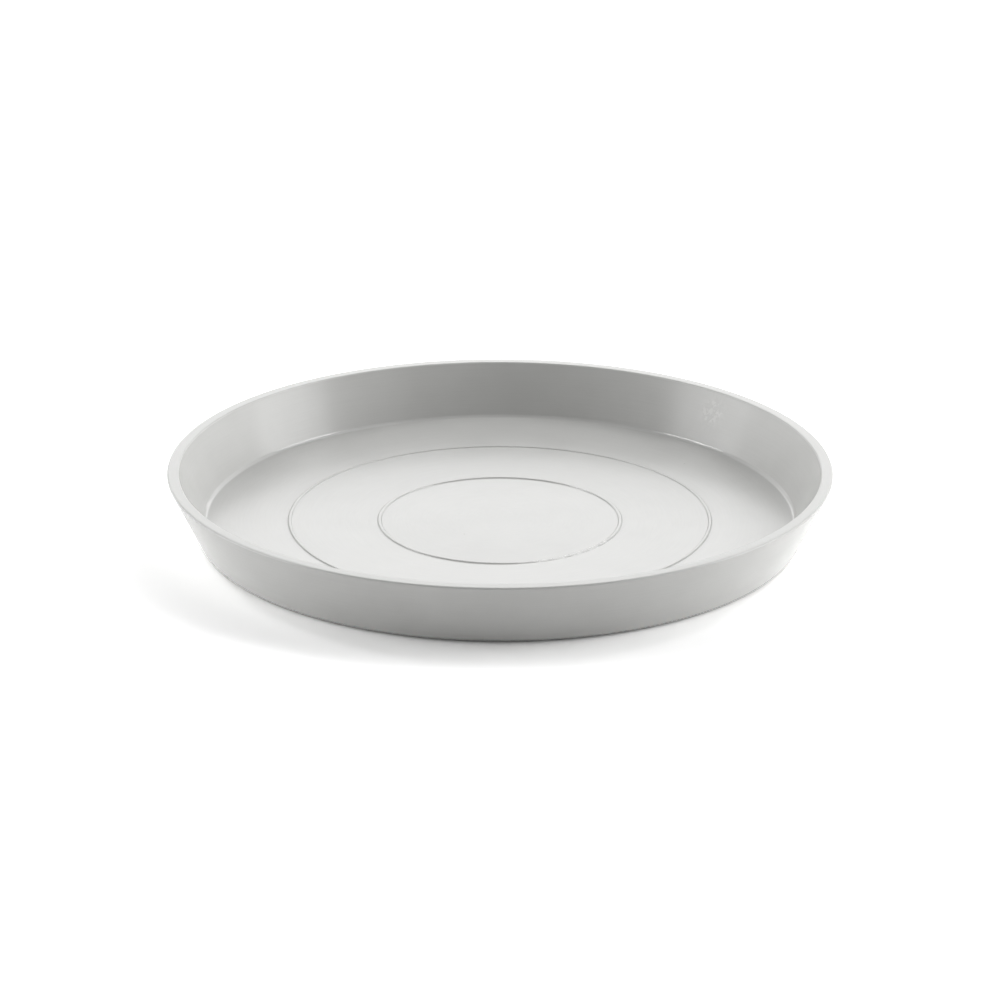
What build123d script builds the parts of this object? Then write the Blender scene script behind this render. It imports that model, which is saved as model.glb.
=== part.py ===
from build123d import *
import os
from math import cos, pi, radians, sin, tan

# Lengths are in millimetres and angles in degrees.
# The origin is on the ground, under the middle of the saucer.

# Tray
rim_diameter = 400.0  # over the rounded outer edge of the rim
tray_height = 40.0  # from the underside of the floor to the top of the rim
rim_width = 6.7  # from the outermost edge to where the inside wall starts
outer_wall_lean = 25.7  # the outside of the wall, away from upright
inner_wall_lean = 24.5  # the inside of the wall, away from upright
rim_edge_radius = 1.0
base_edge_radius = 3.6

# Floor: a flat disc inside the inner rib, then two bands that rise a little towards the wall
floor_thickness = 4.7
inner_band_rise = 1.0
outer_band_rise = 1.8

# Bevel along the inside corner, between the floor and the wall
bevel_floor_reach = 1.1  # from the sharp corner, onto the floor
bevel_wall_reach = 1.5  # from the sharp corner, up the wall
bevel_floor_radius = 2.5
bevel_wall_radius = 1.2

# Ribs that a pot stands on
inner_rib_diameter = 145.6
inner_rib_width = 2.9
outer_rib_diameter = 254.0
outer_rib_width = 2.5
rib_height = 0.65
rib_edge_radius = 0.4
rib_top_share = 0.48  # the flat top of a rib, as a share of its width

# Feet: pads stuck into shallow recesses in the underside
pad_count = 6
pad_inset = 20.0  # from the edge of the tray's base to the edge of a pad
pad_diameter = 22.0
pad_thickness = 2.2
pad_edge_radius = 0.5
adhesive_thickness = 0.3
recess_depth = 1.5
recess_clearance = 0.4
cut_overrun = 1.0

# Levels above the ground
underside_level = pad_thickness + adhesive_thickness - recess_depth
floor_level = underside_level + floor_thickness
outer_rib_level = floor_level + inner_band_rise
floor_edge_level = outer_rib_level + outer_band_rise
rim_level = underside_level + tray_height


def rim_corner():
    """Radius of the sharp corner of outside wall and rim, which rounding brings back to the rim's size."""
    half_corner = (pi / 2 - radians(outer_wall_lean)) / 2
    return rim_diameter / 2 + rim_edge_radius * (1 / tan(half_corner) - 1)


def base_corner():
    """Radius of the sharp corner of outside wall and underside."""
    return rim_corner() - tray_height * tan(radians(outer_wall_lean))


def rib_points(diameter, width, level):
    """The four corners of a rib's section, from its inner foot to its outer foot."""
    middle = diameter / 2
    half_foot = width / 2
    half_top = half_foot * rib_top_share
    return [
        (middle - half_foot, level),
        (middle - half_top, level + rib_height),
        (middle + half_top, level + rib_height),
        (middle + half_foot, level),
    ]


def rib_radii(width):
    """Rounding of a rib's four corners: sharp feet and a rounded top, limited by the width of that top."""
    top_radius = min(rib_edge_radius, width * rib_top_share / 2)
    return [0, top_radius, top_radius, 0]


def tray_face():
    """Half of the tray's section: along the floor, up the inside wall, over the rim and back underneath."""
    inner_rim = rim_diameter / 2 - rim_width
    lean = radians(inner_wall_lean)
    floor_corner = inner_rim - (rim_level - floor_edge_level) * tan(lean)
    points = [
        (0, floor_level),
        *rib_points(inner_rib_diameter, inner_rib_width, floor_level),
        *rib_points(outer_rib_diameter, outer_rib_width, outer_rib_level),
        (floor_corner - bevel_floor_reach, floor_edge_level),
        (floor_corner + bevel_wall_reach * sin(lean), floor_edge_level + bevel_wall_reach * cos(lean)),
        (inner_rim, rim_level),
        (rim_corner(), rim_level),
        (base_corner(), underside_level),
        (0, underside_level),
    ]
    radii = [
        *rib_radii(inner_rib_width),
        *rib_radii(outer_rib_width),
        bevel_floor_radius,
        bevel_wall_radius,
        rim_edge_radius,
        rim_edge_radius,
        base_edge_radius,
    ]
    outline = FilletPolyline(*points, radius=radii)
    middle = Line(points[-1], points[0])
    return Plane.XZ * make_face([*outline.edges(), middle])


def disc(diameter, height, level):
    """A plain disc whose lower face is at the given level."""
    return Pos(0, 0, level) * Cylinder(diameter / 2, height, align=(Align.CENTER, Align.CENTER, Align.MIN))


def saucer_tray(places):
    """The moulded tray, with a recess in its underside at each place of a pad."""
    tray = revolve(tray_face(), Axis.Z)
    recess_diameter = pad_diameter + 2 * recess_clearance
    recess = disc(recess_diameter, recess_depth + cut_overrun, underside_level - cut_overrun)
    return tray - [place * recess for place in places]


def foot_pad():
    """A soft disc that stands on the ground, with a rounded lower edge."""
    pad = disc(pad_diameter, pad_thickness, 0)
    return fillet(pad.edges().group_by(Axis.Z)[0], pad_edge_radius)


def pad_adhesive():
    """The thin adhesive disc between a pad and the top of its recess."""
    return disc(pad_diameter, adhesive_thickness, pad_thickness)


pad_places = PolarLocations(base_corner() - pad_inset - pad_diameter / 2, pad_count).locations

os.makedirs("parts", exist_ok=True)
export_step(saucer_tray(pad_places), "parts/saucer_tray.step")
for number, place in enumerate(pad_places, start=1):
    export_step(place * foot_pad(), f"parts/foot_pad_{number}.step")
    export_step(place * pad_adhesive(), f"parts/pad_adhesive_{number}.step")
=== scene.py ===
# %% [markdown]
# # A moulded plant saucer
# The saucer was constructed elsewhere at its real size: a one-piece tray, and six soft pads stuck into
# shallow recesses under it. This lesson dresses that construction for a picture. Every length is in
# metres, the ground is at height zero, and the camera looks along +Y.

# %% Load the frame
from math import cos, pi, radians, sin, tan

import bpy
import numpy as np
from mathutils import Matrix, Vector


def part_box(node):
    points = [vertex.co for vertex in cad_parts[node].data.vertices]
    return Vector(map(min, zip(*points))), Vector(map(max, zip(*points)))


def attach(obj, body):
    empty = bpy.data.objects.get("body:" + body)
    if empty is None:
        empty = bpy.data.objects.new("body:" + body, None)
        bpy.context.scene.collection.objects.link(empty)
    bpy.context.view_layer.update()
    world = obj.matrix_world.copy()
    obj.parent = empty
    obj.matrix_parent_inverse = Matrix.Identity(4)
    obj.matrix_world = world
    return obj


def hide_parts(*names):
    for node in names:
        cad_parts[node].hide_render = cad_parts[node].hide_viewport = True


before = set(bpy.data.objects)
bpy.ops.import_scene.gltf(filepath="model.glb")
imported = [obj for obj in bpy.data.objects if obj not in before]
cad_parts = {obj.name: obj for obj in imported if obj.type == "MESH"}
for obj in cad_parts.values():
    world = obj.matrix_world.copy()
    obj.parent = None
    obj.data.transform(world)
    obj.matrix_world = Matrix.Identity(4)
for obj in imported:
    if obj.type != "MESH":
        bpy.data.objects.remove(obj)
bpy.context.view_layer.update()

# %% [markdown]
# ## Sizes
# Overall sizes are read from the construction, so that the dressed tray can never outgrow it. The small
# ones, such as the rounding of an edge, can't be read from a box and are repeated here. Moulded plastic
# has no knife edges: even the feet of the ribs get a radius, because it is the radius that catches the
# light.

# %% Sizes of the tray
tray_low, tray_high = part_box("saucer_tray")
rim_radius = min(tray_high.x, tray_high.y, -tray_low.x, -tray_low.y)
rim_level = tray_high.z
underside_level = tray_low.z

rim_width = 0.0067
outer_wall_lean = radians(25.7)
inner_wall_lean = radians(24.5)
rim_edge_radius = 0.0010
base_edge_radius = 0.0036

floor_thickness = 0.0047
inner_band_rise = 0.0010
outer_band_rise = 0.0018
floor_level = underside_level + floor_thickness
outer_rib_level = floor_level + inner_band_rise
floor_edge_level = outer_rib_level + outer_band_rise

bevel_floor_reach = 0.0011
bevel_wall_reach = 0.0015
bevel_floor_radius = 0.0025
bevel_wall_radius = 0.0012

inner_rib_radius = 0.0728
inner_rib_width = 0.0029
outer_rib_radius = 0.1270
outer_rib_width = 0.0025
rib_height = 0.00065
rib_top_share = 0.48
rib_edge_radius = 0.0004
rib_foot_radius = 0.0004
print(f"rim radius {rim_radius:.4f}, rim level {rim_level:.4f}, floor level {floor_level:.4f}")

# %% [markdown]
# ## An outline with rounded corners
# A saucer is a solid of revolution, so one outline of (radius, height) points tells its whole shape. It
# could be drawn as a curve with a Bevel modifier on its corners. Here it is worked out: a few corners,
# each rounded by its own arc. A long straight run gets more points near its two ends, which keeps the
# smooth shading of a wide floor flat right up to the small radius beside it.

# %% Round the corners
arc_points = 7
run_points = 10
short_run = 0.003


def arc(before, corner, after, radius):
    """Points on the circle of that radius which touches both sides of a corner, from side to side.

    The centre lies on the corner's bisector, at radius / sin(half the corner's angle) from it. Spokes
    turn evenly from first to last touching point: (sin((1 - t) a) first + sin(t a) last) / sin(a)."""
    to_before = (before - corner) / np.linalg.norm(before - corner)
    to_after = (after - corner) / np.linalg.norm(after - corner)
    half = np.arccos(to_before @ to_after) / 2
    bisector = (to_before + to_after) / np.linalg.norm(to_before + to_after)
    centre = corner + bisector * radius / sin(half)
    first = corner + to_before * radius / tan(half) - centre
    last = corner + to_after * radius / tan(half) - centre
    turn = np.arccos(first @ last / radius**2)
    t = np.linspace(0, 1, arc_points)[:, None]
    return centre + (np.sin((1 - t) * turn) * first + np.sin(t * turn) * last) / sin(turn)


def run(start, end):
    """Points inside a straight run: start + (end - start) * (1 - cos a) / 2, for even a from 0 to pi.

    That crowds them towards both ends. A short run needs none."""
    count = run_points if np.linalg.norm(end - start) > short_run else 0
    angle = np.linspace(0, pi, count + 2)[1:-1, None]
    return start + (end - start) * (1 - np.cos(angle)) / 2


def rounded_outline(corners, radii):
    """An open outline through the corners, where each corner between the ends has its own radius."""
    corners = np.array(corners)
    arcs = [arc(*corners[i:i + 3], radius) for i, radius in enumerate(radii)]
    stops = [corners[:1], *arcs, corners[-1:]]
    runs = [run(one[-1], other[0]) for one, other in zip(stops, stops[1:])]
    return np.vstack([part for pair in zip(stops, runs) for part in pair] + [stops[-1]])


print("a rounded corner has", arc_points, "points, a long run", run_points, "more")

# %% [markdown]
# ## Turning an outline
# Blender turns an outline with the Spin tool or a Screw modifier, and both leave a seam to merge.
# Computed as one grid of outline points by angles, the surface closes on itself: each ring's last face is
# joined to its first, and a fan of triangles closes the two ends on the axis.

# %% Turn an outline round an axis
tray_segments = 400
foot_segments = 64


def turned(name, outline, segments, middle=(0, 0)):
    """A closed surface of revolution: point(i, a) = middle + (radius i cos a, radius i sin a, height i).

    The outline starts and ends on the axis."""
    angle = np.linspace(0, 2 * pi, segments, endpoint=False)
    radius, height = outline[1:-1].T
    x = middle[0] + np.outer(radius, np.cos(angle))
    y = middle[1] + np.outer(radius, np.sin(angle))
    z = np.outer(height, np.ones(segments))
    poles = [[*middle, outline[0, 1]], [*middle, outline[-1, 1]]]
    points = np.vstack([np.stack([x, y, z], axis=-1).reshape(-1, 3), poles])

    ring = np.arange(x.size).reshape(x.shape)
    beside = np.roll(ring, -1, axis=1)
    quads = np.stack([ring[:-1], ring[1:], beside[1:], beside[:-1]], axis=-1).reshape(-1, 4)
    first_fan = np.stack([np.full(segments, x.size), ring[0], beside[0]], axis=-1)
    last_fan = np.stack([np.full(segments, x.size + 1), beside[-1], ring[-1]], axis=-1)

    mesh = bpy.data.meshes.new(name)
    mesh.from_pydata(points, [], [*quads.tolist(), *first_fan.tolist(), *last_fan.tolist()])
    mesh.polygons.foreach_set("use_smooth", np.ones(len(mesh.polygons), dtype=bool))
    piece = bpy.data.objects.new(name, mesh)
    bpy.context.scene.collection.objects.link(piece)
    print(name, len(mesh.vertices), "points,", len(mesh.polygons), "faces")
    return piece


print("the tray turns in steps of", 360 / tray_segments, "degrees, a foot in steps of", 360 / foot_segments)

# %% [markdown]
# ## The tray
# The outline runs from the middle of the floor over the two low ribs, up the inside wall, across the flat
# rim, down the outside and back under the floor. The floor isn't quite level: it rises a little from rib
# to rib, so that spilled water runs to the middle. A narrow bevel softens the inside corner, and it is
# this bevel that draws a bright line round the foot of the wall. Wall, floor and ribs could be modelled
# apart and joined, but the real tray is one moulding without a seam, so one outline gives all of it.

# %% Turn the tray
def rib(radius, width, level):
    """The four corners of a rib's section: a low trapezium that stands on the floor."""
    half_foot = width / 2
    half_top = half_foot * rib_top_share
    return [
        (radius - half_foot, level),
        (radius - half_top, level + rib_height),
        (radius + half_top, level + rib_height),
        (radius + half_foot, level),
    ]


inner_rim = rim_radius - rim_width
half_rim_corner = (pi / 2 - outer_wall_lean) / 2
rim_corner = rim_radius + rim_edge_radius * (1 / tan(half_rim_corner) - 1)
floor_corner = inner_rim - (rim_level - floor_edge_level) * tan(inner_wall_lean)
base_corner = rim_corner - (rim_level - underside_level) * tan(outer_wall_lean)
bevel_run = bevel_wall_reach * sin(inner_wall_lean)
bevel_rise = bevel_wall_reach * cos(inner_wall_lean)

tray_corners = [
    (0, floor_level),
    *rib(inner_rib_radius, inner_rib_width, floor_level),
    *rib(outer_rib_radius, outer_rib_width, outer_rib_level),
    (floor_corner - bevel_floor_reach, floor_edge_level),
    (floor_corner + bevel_run, floor_edge_level + bevel_rise),
    (inner_rim, rim_level),
    (rim_corner, rim_level),
    (base_corner, underside_level),
    (0, underside_level),
]
rib_radii = [rib_foot_radius, rib_edge_radius, rib_edge_radius, rib_foot_radius]
edge_radii = [bevel_floor_radius, bevel_wall_radius, rim_edge_radius, rim_edge_radius, base_edge_radius]
tray_outline = rounded_outline(tray_corners, rib_radii + rib_radii + edge_radii)
tray = turned("moulded_tray", tray_outline, tray_segments)

# %% [markdown]
# ## A worn stretch of rib
# Pots are slid on over the same side each time, so a stretch of the inner rib is worn nearly down to the
# floor, unevenly, and its shadow line breaks up there. A sculpting brush would flatten it by hand. Here
# the heights of the rib's own points are scaled down, by a share that depends on the angle alone.

# %% Wear the rib down
wear_middle = radians(-52)
wear_half = radians(42)
wear_depth = 0.9
wear_strength = 1.4
first_ripple = 61
second_ripple = 97


def worn_share(angle):
    """How much of the wear an angle gets, from 0 to 1: bell * (strength + ripple), cut off at both ends.

    The bell is cos^2 of the angle from the wear's middle, stretched to reach 0 at the wear's half. The
    ripple is the product of two sines of the angle, with so many waves in a full turn."""
    off = np.clip((angle - wear_middle) / wear_half, -1, 1)
    bell = np.cos(off * pi / 2) ** 2
    ripple = np.sin(first_ripple * angle) * np.sin(second_ripple * angle)
    return np.clip(bell * (wear_strength + ripple), 0, 1)


points = np.empty((len(tray.data.vertices), 3), dtype=np.float32)
tray.data.vertices.foreach_get("co", points.ravel())
x, y, z = points.T
on_rib = (np.abs(np.hypot(x, y) - inner_rib_radius) < inner_rib_width / 2) & (z > floor_level)
drop = np.where(on_rib, (z - floor_level) * wear_depth * worn_share(np.arctan2(y, x)), 0)
points[:, 2] -= drop
tray.data.vertices.foreach_set("co", points.ravel())
tray.data.update()
print("rib points:", on_rib.sum(), "most lowered by", round(float(drop.max()), 5))

# %% [markdown]
# ## Feet
# Each foot is a small rubber disc with a rounded lower edge, turned like the tray and set where its
# construction node lies. It sits in a shallow recess with a hair of clearance round it. The recesses are
# off the tray's axis, so no outline can hold them. They are cut with Booleans: round cutters are taken
# away from the underside, and the result is kept as the tray's own mesh.

# %% Feet and their recesses
foot_nodes = sorted(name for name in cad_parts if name.startswith("foot_pad_"))
adhesive_nodes = sorted(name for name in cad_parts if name.startswith("pad_adhesive_"))
recess_clearance = 0.0004
recess_overrun = 0.001
recess_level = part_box(adhesive_nodes[0])[1].z
foot_lower_radius = 0.0005
foot_upper_radius = 0.0002
sharp_angle = radians(40)


def disc(name, node, grow, low, high, edge_radii):
    """A disc with rounded edges about a node's middle, from low to high, wider than it by grow."""
    box_low, box_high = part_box(node)
    radius = (box_high.x - box_low.x) / 2 + grow
    outline = rounded_outline([(0, high), (radius, high), (radius, low), (0, low)], edge_radii)
    return turned(name, outline, foot_segments, ((box_low + box_high) / 2).xy)


def cut(piece, tool):
    """Takes the tool away from the piece with an exact Boolean, and keeps the result as its mesh."""
    boolean = piece.modifiers.new("recess", "BOOLEAN")
    boolean.operation = "DIFFERENCE"
    boolean.solver = "EXACT"
    boolean.object = tool
    evaluated = piece.evaluated_get(bpy.context.evaluated_depsgraph_get())
    mesh = bpy.data.meshes.new_from_object(evaluated)
    piece.modifiers.clear()
    piece.data = mesh
    bpy.data.objects.remove(tool)


foot_radii = [foot_upper_radius, foot_lower_radius]
cutter_radii = [foot_upper_radius, foot_upper_radius]
feet = []
for node in foot_nodes:
    foot_name = node.replace("foot_pad", "rubber_foot")
    foot_low, foot_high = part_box(node)
    feet.append(disc(foot_name, node, 0, foot_low.z, foot_high.z, foot_radii))
    cut(tray, disc("cutter", node, recess_clearance, -recess_overrun, recess_level, cutter_radii))

for piece in [tray, *feet]:
    piece.data.set_sharp_from_angle(angle=sharp_angle)
print("tray:", len(tray.data.polygons), "faces after cutting;", len(feet), "feet")

# %% [markdown]
# ## Writing a finish as arithmetic
# A procedural finish is a graph of nodes. Wiring it by hand is slow to read, so one small class stands
# for the number that a socket carries: adding or multiplying such numbers adds the Math nodes that do it.


# %% A socket with operators
class Field:
    """A number, colour or vector that a socket carries. Arithmetic on a number adds Math nodes."""

    def __init__(self, wiring, socket):
        self.wiring = wiring
        self.socket = socket

    def maths(self, operation, one, other):
        """The result of a Math node, where one or both of the values are fields."""
        return self.wiring.node("ShaderNodeMath", {"operation": operation}, {0: one, 1: other})

    def __add__(self, other):
        return self.maths("ADD", self, other)

    def __sub__(self, other):
        return self.maths("SUBTRACT", self, other)

    def __rsub__(self, other):
        return self.maths("SUBTRACT", other, self)

    def __mul__(self, other):
        return self.maths("MULTIPLY", self, other)

    def __truediv__(self, other):
        return self.maths("DIVIDE", self, other)

    def __pow__(self, other):
        return self.maths("POWER", self, other)

    def __gt__(self, other):
        return self.maths("GREATER_THAN", self, other)

    def __or__(self, other):
        return self.maths("MAXIMUM", self, other)

    __radd__ = __add__
    __rmul__ = __mul__


print("arithmetic on a field adds a Math node: + - * / ** > and | for the larger of two")

# %% [markdown]
# ## The tree being wired
# A second class holds the node tree. Its one method adds any kind of node, makes the node's settings
# first and then fills or links its sockets. A few named shapes, such as a smooth step or a bump, are
# written with it once.


# %% A tree to wire
class Wiring:
    """A node tree being wired. It starts empty."""

    def __init__(self, owner):
        owner.use_nodes = True
        self.tree = owner.node_tree
        self.tree.nodes.clear()

    def node(self, kind, settings=None, sockets=None, output=0):
        """Adds a node, makes its settings, fills or links its sockets, and gives one of its outputs."""
        node = self.tree.nodes.new(kind)
        for name, value in (settings or {}).items():
            setattr(node, name, value)
        for name, value in (sockets or {}).items():
            if isinstance(value, Field):
                self.tree.links.new(value.socket, node.inputs[name])
            else:
                node.inputs[name].default_value = value
        return Field(self, node.outputs[output] if node.outputs else None)

    def step(self, value, low, high):
        """A smooth step: 0 at low, 1 at high and an S between. It falls where low is above high."""
        sockets = {"Value": value, "From Min": low, "From Max": high}
        return self.node("ShaderNodeMapRange", {"interpolation_type": "SMOOTHSTEP"}, sockets)

    def noise(self, vector, scale, detail):
        """Fractal noise that varies about a half."""
        return self.node("ShaderNodeTexNoise", {}, {"Vector": vector, "Scale": scale, "Detail": detail})

    def distance(self, vector, point):
        """How far a place is from a fixed point."""
        sockets = {0: vector, 1: point}
        return self.node("ShaderNodeVectorMath", {"operation": "DISTANCE"}, sockets, output="Value")

    def blend(self, share, one, other):
        """A colour on the way from one colour to the other."""
        return self.node("ShaderNodeMix", {"data_type": "RGBA"}, {0: share, 6: one, 7: other}, output=2)

    def bump(self, height, distance):
        """A normal tilted by the slope of a height, where a height of 1 stands for that distance."""
        return self.node("ShaderNodeBump", {}, {"Height": height, "Distance": distance})

    def principled(self, sockets):
        """Ends a material's tree with a Principled shader that takes these sockets."""
        shader = self.node("ShaderNodeBsdfPrincipled", {}, sockets)
        self.node("ShaderNodeOutputMaterial", {}, {"Surface": shader})


def new_finish(name):
    """A new material, the wiring of its tree, and the Object coordinates that its patterns read."""
    material = bpy.data.materials.new(name)
    wire = Wiring(material)
    return material, wire, wire.node("ShaderNodeTexCoord", output="Object")


print("a node tree has", sum(callable(part) for part in vars(Wiring).values()), "ways to be wired")

# %% [markdown]
# ## Patterns in the plastic
# Close by, moulded plastic isn't one flat grey. Fine hairlines run round the tray from the turned mould,
# and a few dark specks lie in it. A painted picture could show them, but it would have to be unwrapped
# onto the tray. Noise needs no unwrapping: the hairlines read (direction, distance along the section), so
# they follow the turning, are smooth round the axis and have no seam.

# %% Hairlines and specks
hairline_scale = 900
hairline_spokes = 5
speck_scale = 95
speck_edge = (0.07, 0.03)
rare_speck = 0.975


def hairlines(wire, x, y, z, radius):
    """Noise on (x, y) / radius and radius + z: long arcs round the axis, about a millimetre apart."""
    along = (radius + z) * hairline_scale
    spokes = {"X": x / radius * hairline_spokes, "Y": y / radius * hairline_spokes, "Z": along}
    return wire.noise(wire.node("ShaderNodeCombineXYZ", {}, spokes), scale=1, detail=2)


def specks(wire, place):
    """Small dots at the middles of a few cells: those whose random number passes the rare mark."""
    cell = {"Vector": place, "Scale": speck_scale}
    near = wire.node("ShaderNodeTexVoronoi", {}, cell, output="Distance")
    lot = wire.node("ShaderNodeTexVoronoi", {}, cell, output="Color")
    chosen = wire.node("ShaderNodeSeparateColor", {}, {0: lot}) > rare_speck
    return wire.step(near, *speck_edge) * chosen


print(f"hairlines {1000 / hairline_scale:.1f} mm apart, specks in {1 - rare_speck:.1%} of the cells")

# %% [markdown]
# ## Where the plastic is worn, and where light is painted
# Use leaves a scuff inside the wall. The worn stretch of rib is painted paler, which is painted light: it
# lifts the rib's shade line there. Such places could be painted as masks by hand. Here each mask is a
# distance: from a point for a smeared patch, or from the axis for a ring of the tray, cut off at the middle
# of the wall or floor so that it doesn't show on the other side.

# %% Masks of the worn places and of the painted light
scuff_place = (0.135, 0.131, 0.029)
scuff_reach = 0.016
# Where the worn rib gets its paler colour: painted light that lifts the rib's shade line.
rib_wear_and_painted_light_place = (inner_rib_radius * cos(wear_middle), inner_rib_radius * sin(wear_middle), floor_level)
rib_wear_and_painted_light_reach = 0.046
smear_scale = 330
smear_levels = (0.44, 0.58)
ring_fade = 0.0008
floor_middle = underside_level + floor_thickness / 2
rim_middle = rim_radius - rim_width / 2


def ring(wire, radius, z, inner, outer):
    """1 on the upper side between two radii, falling to 0 over a short fade past both."""
    rising = wire.step(radius, inner - ring_fade, inner)
    falling = wire.step(radius, outer + ring_fade, outer)
    return rising * falling * (z > floor_middle)


def within_wall(radius, z):
    """1 inside the cone that runs midway between the two faces of the wall, and 0 outside it."""
    return rim_middle - (rim_level - z) * tan(inner_wall_lean) > radius


def rubbed(wire, place, middle, reach):
    """A patch: 1 at its middle, fading to 0 at its reach, and broken up by noise."""
    smear = wire.step(wire.noise(place, smear_scale, detail=3), *smear_levels)
    return wire.step(wire.distance(place, middle), reach, 0) * smear


print("scuff at", scuff_place, "and worn rib at", [round(part, 4) for part in rib_wear_and_painted_light_place])

# %% [markdown]
# ## Moulded plastic
# The tray is one shot of pale warm grey plastic with a satin skin. Its colour drifts a little where the
# melt cooled, the rim is dull and smooth from handling, and the inside corner is glossier, as if the mould
# were polished there. The patterns are put together by arithmetic, and every one reads Object
# coordinates, so none of it swims with the view.

# %% Tray plastic
plastic_dull = (0.583, 0.584, 0.570, 1)
plastic_pale = (0.617, 0.618, 0.604, 1)
# Pale for the scuff's real wear, and painted light on the worn rib that lifts its shade line.
wear_and_painted_light_pale = (0.80, 0.80, 0.785, 1)
speck_grey = (0.40, 0.40, 0.38, 1)
plastic_ior = 1.52
plastic_roughness = 0.17
plastic_relief = 0.00002

axis_guard = 0.0001
drift_scale = 22
grain_scale = 1500
rim_wear_depth = 0.0016
rim_full_depth = 0.0004
polish_inwards = 0.0010
polish_outwards = 0.0005

# How much each pattern counts in the tone, the colours laid over it, the roughness and the height
drift_tone = 0.7
hairline_tone = 0.3
tone_levels = (0.30, 0.70)
scuff_paleness = 0.3
# How much painted light the worn rib gets, lifting its shade line.
rib_painted_light = 0.5
speck_strength = 0.6
drift_roughness = 0.06
hairline_roughness = 0.04
rim_roughness = 0.08
scuff_roughness = 0.10
rib_roughness = 0.20
polish_gain = 0.12
hairline_height = 0.35
grain_height = 0.25
speck_height = 1.5
scuff_height = 0.8


def tray_plastic():
    """Satin plastic: drifting grey, hairlines round the axis, specks, a rubbed scuff and a moulded grain.
    The worn stretch of rib is painted paler: painted light that lifts the rib's shade line.
    """
    material, wire, place = new_finish("tray_plastic")
    x, y, z = (wire.node("ShaderNodeSeparateXYZ", {}, {0: place}, output=axis) for axis in "XYZ")
    radius = (x * x + y * y) ** 0.5 + axis_guard

    drift = wire.noise(place, drift_scale, detail=3)
    hairline = hairlines(wire, x, y, z, radius)
    grain = wire.noise(place, grain_scale, detail=2)
    speck = specks(wire, place)
    scuff = rubbed(wire, place, scuff_place, scuff_reach) * within_wall(radius, z)
    rib_inside = inner_rib_radius - inner_rib_width / 2
    rib_outside = inner_rib_radius + inner_rib_width / 2
    # Mask of the worn rib: real wear in the roughness, painted light in the colour that lifts its shade
    # line.
    rib_wear_and_painted_light = rubbed(wire, place, rib_wear_and_painted_light_place, rib_wear_and_painted_light_reach)
    rib_wear_and_painted_light = rib_wear_and_painted_light * ring(wire, radius, z, rib_inside, rib_outside)
    rim_wear = wire.step(z, rim_level - rim_wear_depth, rim_level - rim_full_depth)
    polish = ring(wire, radius, z, floor_corner - polish_inwards, floor_corner + polish_outwards)

    tone = wire.step(drift * drift_tone + hairline * hairline_tone, *tone_levels)
    colour = wire.blend(tone, plastic_dull, plastic_pale)
    # On the worn rib this pale colour is painted light that lifts the rib's shade line; on the scuff it is
    # wear.
    colour = wire.blend(scuff * scuff_paleness | rib_wear_and_painted_light * rib_painted_light, colour, wear_and_painted_light_pale)
    colour = wire.blend(speck * speck_strength, colour, speck_grey)

    wear = rim_wear * rim_roughness + scuff * scuff_roughness + rib_wear_and_painted_light * rib_roughness
    roughness = plastic_roughness + drift * drift_roughness + hairline * hairline_roughness
    roughness = roughness + wear - polish * polish_gain

    height = hairline * (1 - rim_wear) * hairline_height + grain * grain_height
    height = height + speck * speck_height + scuff * scuff_height
    normal = wire.bump(height, plastic_relief)

    wire.principled({"Base Color": colour, "Roughness": roughness, "Normal": normal, "IOR": plastic_ior})
    print("finish", material.name, len(wire.tree.nodes), "nodes")
    return material


tray.data.materials.clear()
tray.data.materials.append(tray_plastic())

# %% [markdown]
# ## Rubber
# The feet are charcoal rubber. Rubber scatters light widely, and dust greys its grain. A plain black would
# hide the form of so small a piece, so the grain is a bump of small cells and the dust a paler grey.

# %% Rubber feet
rubber_black = (0.045, 0.045, 0.047, 1)
rubber_dusty = (0.105, 0.104, 0.102, 1)
rubber_ior = 1.52
rubber_roughness = 0.72
dust_roughness = 0.2
pebble_scale = 1100
pebble_relief = 0.00008
dust_scale = 160
cloud_dust = 0.6
pebble_dust = 0.4
dust_levels = (0.35, 0.75)


def foot_rubber():
    """Matt rubber: a pebbled grain whose hollows hold dust."""
    material, wire, place = new_finish("pad_rubber")
    cell = {"Vector": place, "Scale": pebble_scale}
    pebble = wire.node("ShaderNodeTexVoronoi", {}, cell, output="Distance")
    cloud = wire.noise(place, dust_scale, detail=3)
    dust = wire.step(cloud * cloud_dust + pebble * pebble_dust, *dust_levels)
    colour = wire.blend(dust, rubber_black, rubber_dusty)
    roughness = rubber_roughness + dust * dust_roughness
    normal = wire.bump(1 - pebble, pebble_relief)
    wire.principled({"Base Color": colour, "Roughness": roughness, "Normal": normal, "IOR": rubber_ior})
    print("finish", material.name, len(wire.tree.nodes), "nodes")
    return material


rubber = foot_rubber()
for foot in feet:
    foot.data.materials.clear()
    foot.data.materials.append(rubber)

# %% [markdown]
# ## Adhesive
# The adhesive is a thin cloudy white film that only shows as a pale line inside the recess. A new shape
# would gain nothing there, so its nodes keep their construction shape and get a finish of their own.

# %% Adhesive film
film_white = (0.82, 0.81, 0.77, 1)
film_cloudy = (0.70, 0.69, 0.64, 1)
film_roughness = 0.30
bubble_roughness = 0.25
bubble_scale = 420
bubble_levels = (0.45, 0.62)
bubble_relief = 0.00005


def adhesive_film():
    """Cloudy film with small trapped bubbles."""
    material, wire, place = new_finish("adhesive")
    bubble = wire.step(wire.noise(place, bubble_scale, detail=3), *bubble_levels)
    colour = wire.blend(bubble, film_white, film_cloudy)
    roughness = film_roughness + bubble * bubble_roughness
    normal = wire.bump(bubble, bubble_relief)
    wire.principled({"Base Color": colour, "Roughness": roughness, "Normal": normal})
    print("finish", material.name, len(wire.tree.nodes), "nodes")
    return material


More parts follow.
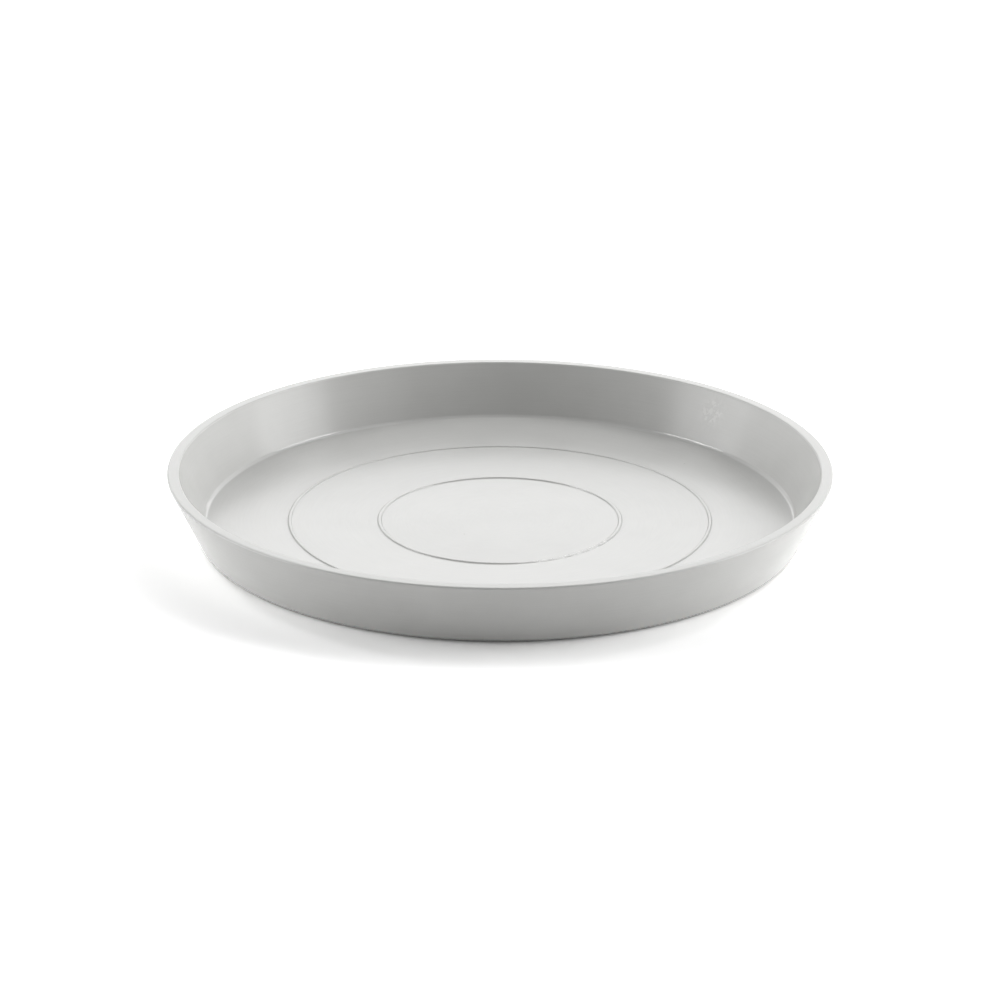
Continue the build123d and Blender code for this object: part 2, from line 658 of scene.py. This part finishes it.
film = adhesive_film()
for node in adhesive_nodes:
    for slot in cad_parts[node].material_slots:
        slot.material = film

# %% [markdown]
# ## Fasten the pieces to the frame
# Nothing on a saucer moves, so every piece rides on the one body. Each new piece hides the construction
# node that it stands for.

# %% Ride, and hide the nodes that are replaced
dressed = [(tray, "saucer_tray", "tray_plastic")]
dressed += [(foot, node, "pad_rubber") for foot, node in zip(feet, foot_nodes)]
for piece, node, slot in dressed:
    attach(piece, "root")
    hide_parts(node)
print("pieces on the frame:", len(dressed), "with", len(adhesive_nodes), "construction nodes left showing")

# %% [markdown]
# ## A white table
# The saucer stands on a plain white table, which scatters light like paper. A real studio table is lit
# brighter than the thing on it, until it reads as white. Here the camera and the reflections see a paler
# paper than the light does, so the table turns white, keeps its shadow, and sends no more light onto the
# saucer. From below the table lets the view through.

# %% Lay the table
table_half = 2.5
table_level = -0.0001
table_white = (1.0, 1.0, 1.0, 1)
table_shown = (1.53, 1.53, 1.53, 1)


def seen(wire):
    """1 for rays from the camera, in reflections or through clear things, and 0 for the rest."""
    rays = ["Is Camera Ray", "Is Glossy Ray", "Is Transmission Ray"]
    camera, glossy, clear = (wire.node("ShaderNodeLightPath", output=ray) for ray in rays)
    return camera | glossy | clear


def table_paper():
    """White paper for the table, clear from behind."""
    material = bpy.data.materials.new("table_paper")
    wire = Wiring(material)
    white = wire.blend(seen(wire), table_white, table_shown)
    paper = wire.node("ShaderNodeBsdfDiffuse", {}, {"Color": white})
    clear = wire.node("ShaderNodeBsdfTransparent")
    behind = wire.node("ShaderNodeNewGeometry", output="Backfacing")
    shader = wire.node("ShaderNodeMixShader", {}, {0: behind, 1: paper, 2: clear})
    wire.node("ShaderNodeOutputMaterial", {}, {"Surface": shader})
    return material


table_corners = table_half * np.array([[-1, -1], [1, -1], [1, 1], [-1, 1]])
table_mesh = bpy.data.meshes.new("table")
table_mesh.from_pydata(np.column_stack([table_corners, np.full(4, table_level)]), [], [(0, 1, 2, 3)])
table_mesh.materials.append(table_paper())
table = bpy.data.objects.new("table", table_mesh)
bpy.context.scene.collection.objects.link(table)
print("table", 2 * table_half, "m wide")

# %% [markdown]
# ## Surroundings
# Past the table's edge there is only a white backdrop, which fades out above it. It shows to the camera
# and in reflections. The rest of the room sends a weak, even light from all sides, which keeps the
# shadows open.

# %% Backdrop and room light
room_light = 0.17
backdrop_top = sin(radians(12))
backdrop_fade = sin(radians(30))

world = bpy.data.worlds.new("surroundings")
bpy.context.scene.world = world
wire = Wiring(world)
direction = wire.node("ShaderNodeTexCoord", output="Generated")
rise = wire.node("ShaderNodeSeparateXYZ", {}, {0: direction}, output="Z")
backdrop = wire.step(rise, backdrop_fade, backdrop_top) * seen(wire)
strength = backdrop * (1 - room_light) + room_light
background = wire.node("ShaderNodeBackground", {}, {"Color": (1, 1, 1, 1), "Strength": strength})
wire.node("ShaderNodeOutputWorld", {}, {"Surface": background})
print("room light", room_light)

# %% [markdown]
# ## Softboxes
# The light comes from softboxes on both sides and behind, a little stronger on the right, and the
# camera's side stays dark. Low and middle panels graze the walls, slanting strips draw the bright line
# along the foot of the wall, and the panels behind give the floor its sheen. The inside of the back wall
# faces the dark side, so it stays in shade. A lamp's power is its radiance times pi times its area, so a
# softbox can be written by the part of the sky that it covers and how bright it looks.

# %% Hang the softboxes
lamp_distance = 3.0
side_panels = [
    # name, azimuth from behind, elevation, width, height, turn (all in degrees), radiance right and left
    ("low", 88, 6, 38, 10, 0, 5.9, 5.2),
    ("middle", 90, 20, 30, 34, 0, 2.9, 2.25),
    ("high", 86, 38, 22, 18, 0, 4.2, 1.8),
    ("strip", 60.5, 49.5, 18, 7, 53, 8.5, 9.0),
    ("corner", 44, 27, 38, 32, 0, 1.1, 0.8),
    ("upper", 50, 62, 40, 20, 0, 0.8, 0.3),
]
back_panels = [
    # name, azimuth from behind, elevation, width, height, turn (all in degrees), radiance
    ("back", 2, 24, 38, 24, 0, 1.75),
    ("back_high", 0, 50, 40, 16, 0, 0.7),
]


def softbox(name, azimuth, elevation, width, height, turn, radiance):
    """A rectangular lamp in the direction (sin a cos e, cos a cos e, sin e), facing the saucer."""
    lamp = bpy.data.lights.new(name, "AREA")
    lamp.shape = "RECTANGLE"
    lamp.size = 2 * lamp_distance * tan(radians(width) / 2)
    lamp.size_y = 2 * lamp_distance * tan(radians(height) / 2)
    lamp.energy = radiance * pi * lamp.size * lamp.size_y
    a = radians(azimuth)
    e = radians(elevation)
    direction = Vector((sin(a) * cos(e), cos(a) * cos(e), sin(e)))
    facing = direction.to_track_quat("Z", "Y").to_matrix()
    holder = bpy.data.objects.new(name, lamp)
    holder.location = direction * lamp_distance
    holder.rotation_euler = (facing @ Matrix.Rotation(-radians(turn), 3, "Z")).to_euler()
    holder.visible_camera = False
    bpy.context.scene.collection.objects.link(holder)
    print("softbox", name, round(lamp.energy, 1), "W")


for name, azimuth, elevation, width, height, turn, right_radiance, left_radiance in side_panels:
    softbox("right_" + name, azimuth, elevation, width, height, turn, right_radiance)
    softbox("left_" + name, -azimuth, elevation, width, height, -turn, left_radiance)
for panel in back_panels:
    softbox(*panel)

# %% [markdown]
# ## Camera
# The picture is taken with a long lens from 2.4 m, twenty degrees above the rim. The camera aims a little
# under the middle of the rim and leans by a hair.

# %% Camera and colour
view_distance = 2.4
view_elevation = radians(20.088)
view_pitch = radians(20.597)
view_lean = radians(0.124)
lens = 143.449
sensor = 36

camera_data = bpy.data.cameras.new("camera")
camera_data.lens = lens
camera_data.sensor_width = sensor
camera = bpy.data.objects.new("camera", camera_data)
bpy.context.scene.collection.objects.link(camera)
away = Vector((0, -cos(view_elevation), sin(view_elevation)))
stand = Matrix.Translation(Vector((0, 0, rim_level)) + away * view_distance)
pitch = Matrix.Rotation(pi / 2 - view_pitch, 4, "X")
lean = Matrix.Rotation(view_lean, 4, "Z")
camera.matrix_world = stand @ pitch @ lean
bpy.context.scene.camera = camera
bpy.context.scene.view_settings.view_transform = "Standard"
print("camera at", [round(part, 3) for part in camera.location])

# %% [markdown]
